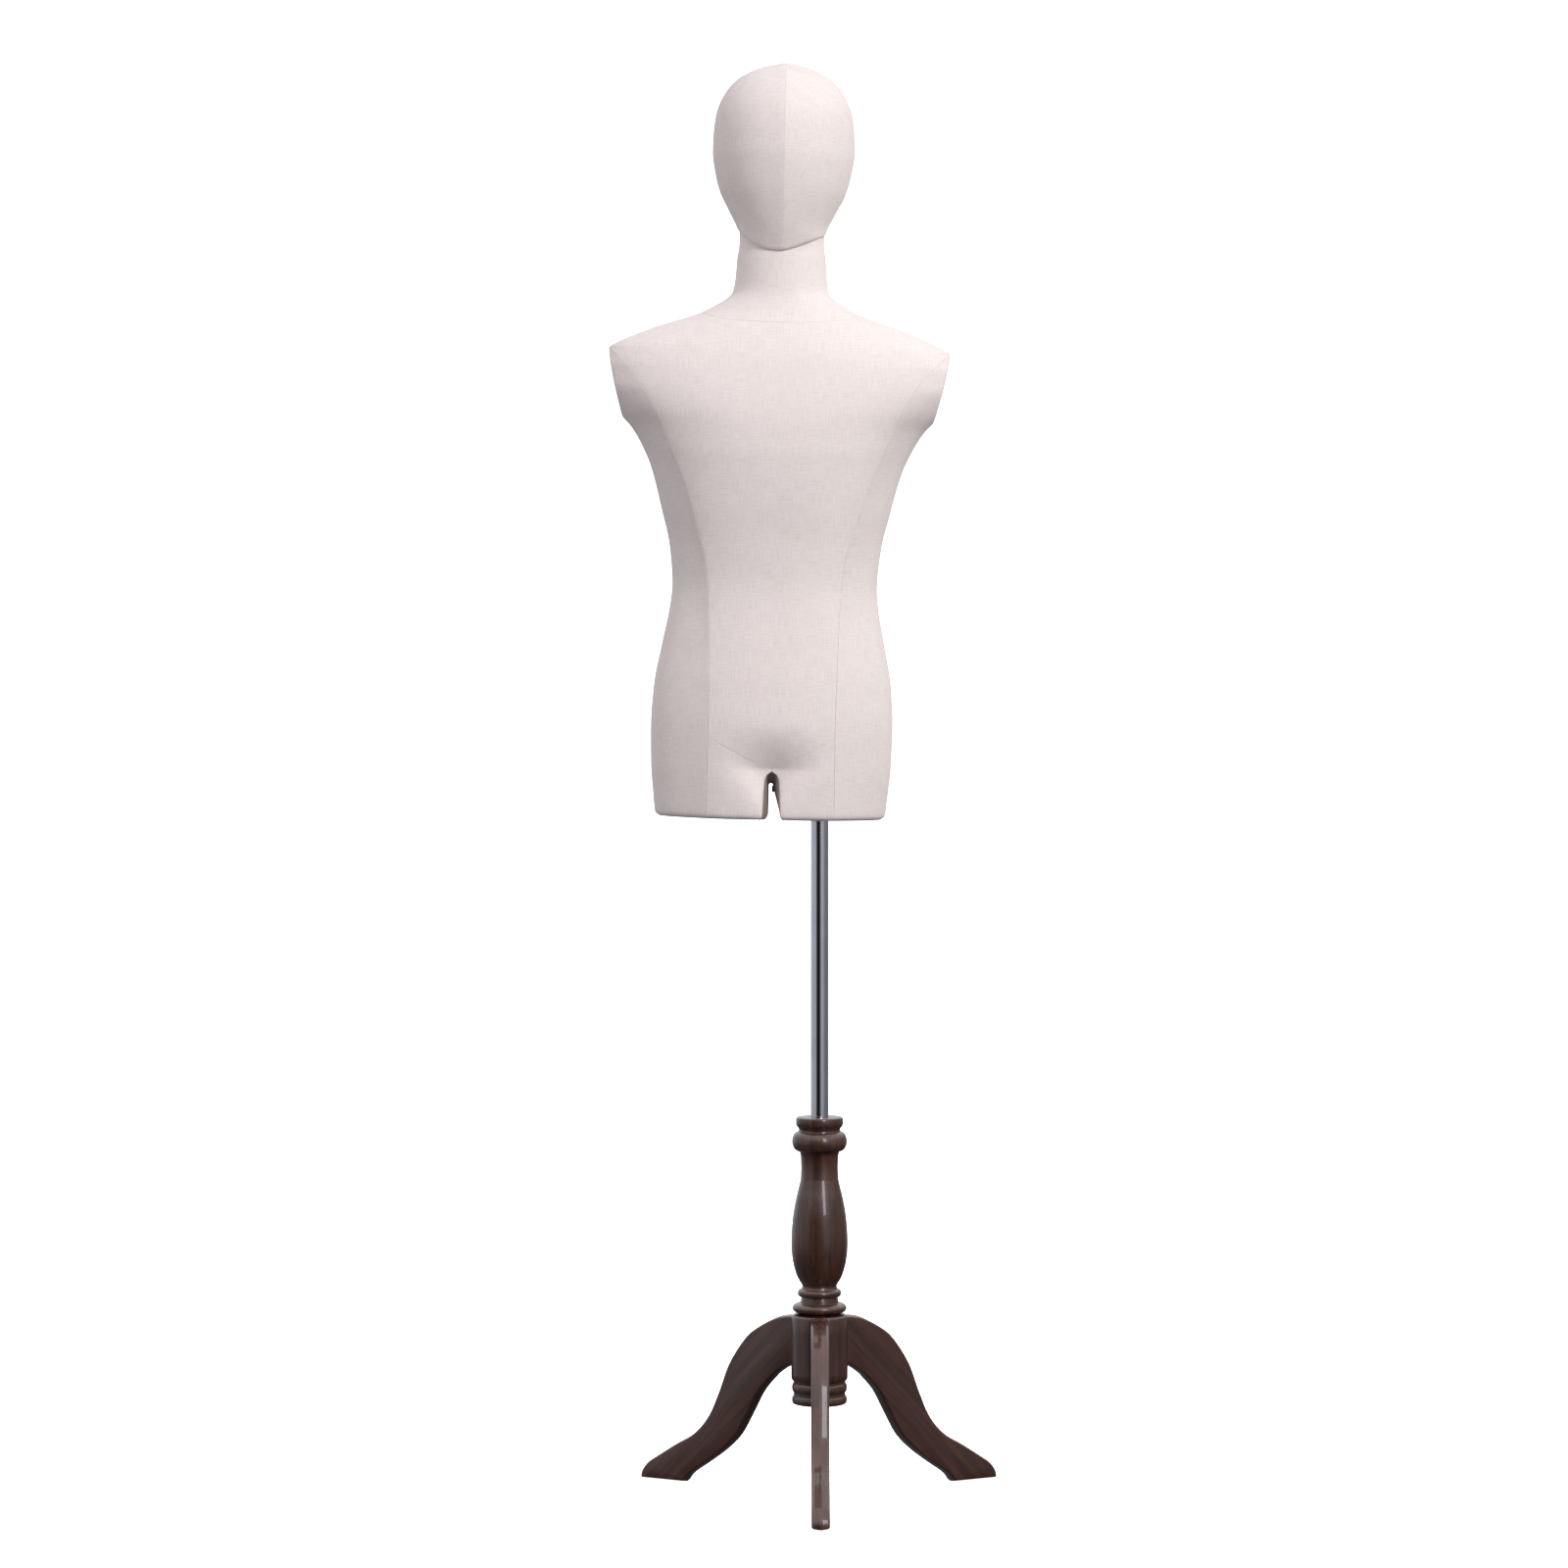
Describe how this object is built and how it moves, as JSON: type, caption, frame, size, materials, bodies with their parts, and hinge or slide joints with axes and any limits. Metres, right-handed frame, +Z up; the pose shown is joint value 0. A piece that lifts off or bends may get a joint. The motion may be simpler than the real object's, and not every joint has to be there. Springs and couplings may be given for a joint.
{
  "type": "dress form mannequin",
  "caption": "Linen-covered half-body dress form with a plain egg head, on a chrome pole, a turned wooden column and curved board legs; height, swivel and head turn.",
  "frame": {"origin": "on the floor, under the middle of the object's outline", "axes": "+Z up; the form faces -Y; +X is the form's left-hand side, the side the pole enters"},
  "size_m": [0.4826, 0.389, 1.7525],
  "materials": {
    "linen": "matte woven linen",
    "walnut": "dark walnut stain under gloss lacquer",
    "chrome": "polished chrome",
    "steel": "zinc plated",
    "black_steel": "black oxide",
    "plywood": "plain plywood",
    "shell_resin": "moulded glass-fibre resin",
    "nylon": "plain nylon"
  },
  "bodies": {
    "stand": {"hub": "walnut", "column": "walnut", "hub_plug": "walnut", "pole": "chrome", "pole_washer": "steel", "pole_bolt": "steel", "pole_foot_plug": "steel", "pole_top_cap": "nylon", "leg_front": "walnut", "leg_left": "walnut", "leg_right": "walnut", "leg_bolt_front_lower": "steel", "leg_bolt_front_upper": "steel", "leg_bolt_left_lower": "steel", "leg_bolt_left_upper": "steel", "leg_bolt_right_lower": "steel", "leg_bolt_right_upper": "steel", "leg_nut_front_lower": "steel", "leg_nut_front_upper": "steel", "leg_nut_left_lower": "steel", "leg_nut_left_upper": "steel", "leg_nut_right_lower": "steel", "leg_nut_right_upper": "steel"},
    "sleeve": {"pole_sleeve": "nylon"},
    "form": {"torso_shell": "shell_resin", "thigh_board_left": "plywood", "thigh_board_right": "plywood", "pole_socket": "steel", "flange_screw_1": "steel", "flange_screw_2": "steel", "flange_screw_3": "steel", "clamp_nut": "steel", "neck_block": "plywood", "neck_peg": "steel", "neck_peg_nut": "steel", "neck_washer": "nylon", "front_panel": "linen", "gap_lining": "linen", "neck_cover": "linen", "back_panel_right": "linen", "back_panel_left": "linen", "side_panel_right": "linen", "side_panel_left": "linen", "thigh_panel_right": "linen", "thigh_panel_left": "linen", "armhole_cover_right": "linen", "armhole_cover_left": "linen", "thigh_end_right": "linen", "thigh_end_left": "linen"},
    "pad": {"clamp_pad": "steel"},
    "screw": {"clamp_screw": "black_steel"},
    "head": {"head_core": "shell_resin", "head_plate": "plywood", "head_cover_left": "linen", "head_cover_right": "linen"}
  },
  "joints": [
    {"name": "form_height", "type": "slide", "parent": "stand", "child": "sleeve", "axis": [0, 0, 1], "range_m": [-0.3, 0.1]},
    {"name": "form_swivel", "type": "hinge", "parent": "sleeve", "child": "form", "pos_m": [0.016, 0.058, 0.9], "axis": [0, 0, 1], "continuous": true},
    {"name": "head_turn", "type": "hinge", "parent": "form", "child": "head", "pos_m": [-0.02988, 0.058, 1.55584], "axis": [0.0209, 0, 0.9998], "continuous": true},
    {"name": "clamp_travel", "type": "slide", "parent": "form", "child": "pad", "axis": [-1, 0, 0], "range_m": [0, 0.0025]},
    {"name": "clamp_turn", "type": "hinge", "parent": "pad", "child": "screw", "pos_m": [-0.024, 0.058, 0.869], "axis": [-1, 0, 0], "range_deg": [0, 720]}
  ],
  "couplings": [
    {"joint": "clamp_turn", "follows": "clamp_travel", "rad_per_m": 5026.5}
  ]
}
